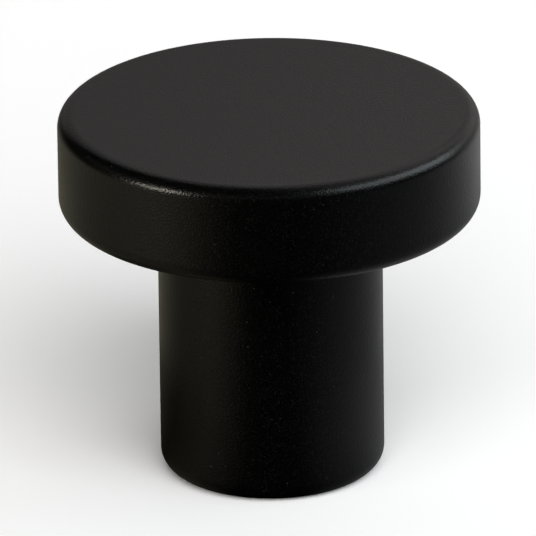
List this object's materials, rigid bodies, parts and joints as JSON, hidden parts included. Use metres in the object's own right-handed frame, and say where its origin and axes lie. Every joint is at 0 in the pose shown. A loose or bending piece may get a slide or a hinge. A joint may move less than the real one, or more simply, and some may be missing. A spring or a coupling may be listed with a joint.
{
  "type": "cabinet knob",
  "caption": "Round cabinet knob with a thick flat disc head, softly rounded edges and a plain cylindrical stem, fixed from behind by a screw into a blind threaded hole in its base.",
  "frame": {"origin": "middle of the base, where the knob stands on the drawer front", "axes": "+Z along the knob's own axis, from the base to the top of the head; X and Y are free, because the knob is round"},
  "size_m": [0.03, 0.03, 0.027],
  "materials": {
    "black_coating": "fine matt black powder coating on a zinc alloy casting"
  },
  "bodies": {
    "root": {"knob": "black_coating"}
  },
  "joints": []
}
